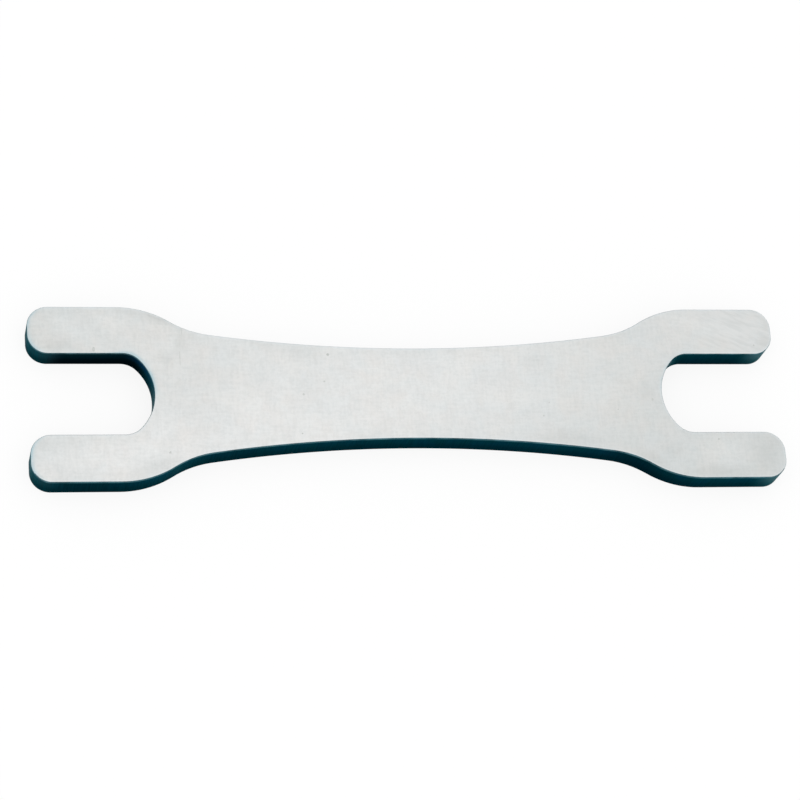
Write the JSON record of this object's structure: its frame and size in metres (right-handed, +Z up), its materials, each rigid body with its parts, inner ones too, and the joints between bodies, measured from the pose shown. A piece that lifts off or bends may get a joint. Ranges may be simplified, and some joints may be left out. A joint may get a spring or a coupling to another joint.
{
  "type": "tip wrench",
  "caption": "Flat plate wrench with an open, parallel-sided jaw in each end, rounded prong tips and a gently waisted grip; turns small tips and fittings by their flats.",
  "frame": {"origin": "middle of the plate's outline, on its underside", "axes": "+X along the wrench, +Y across its jaws, +Z up through the plate's thickness"},
  "size_m": [0.127, 0.0308, 0.0048],
  "materials": {
    "plate": "bare mill finish, matt and pale, with dark cut edges"
  },
  "bodies": {
    "root": {"wrench_plate": "plate"}
  },
  "joints": []
}
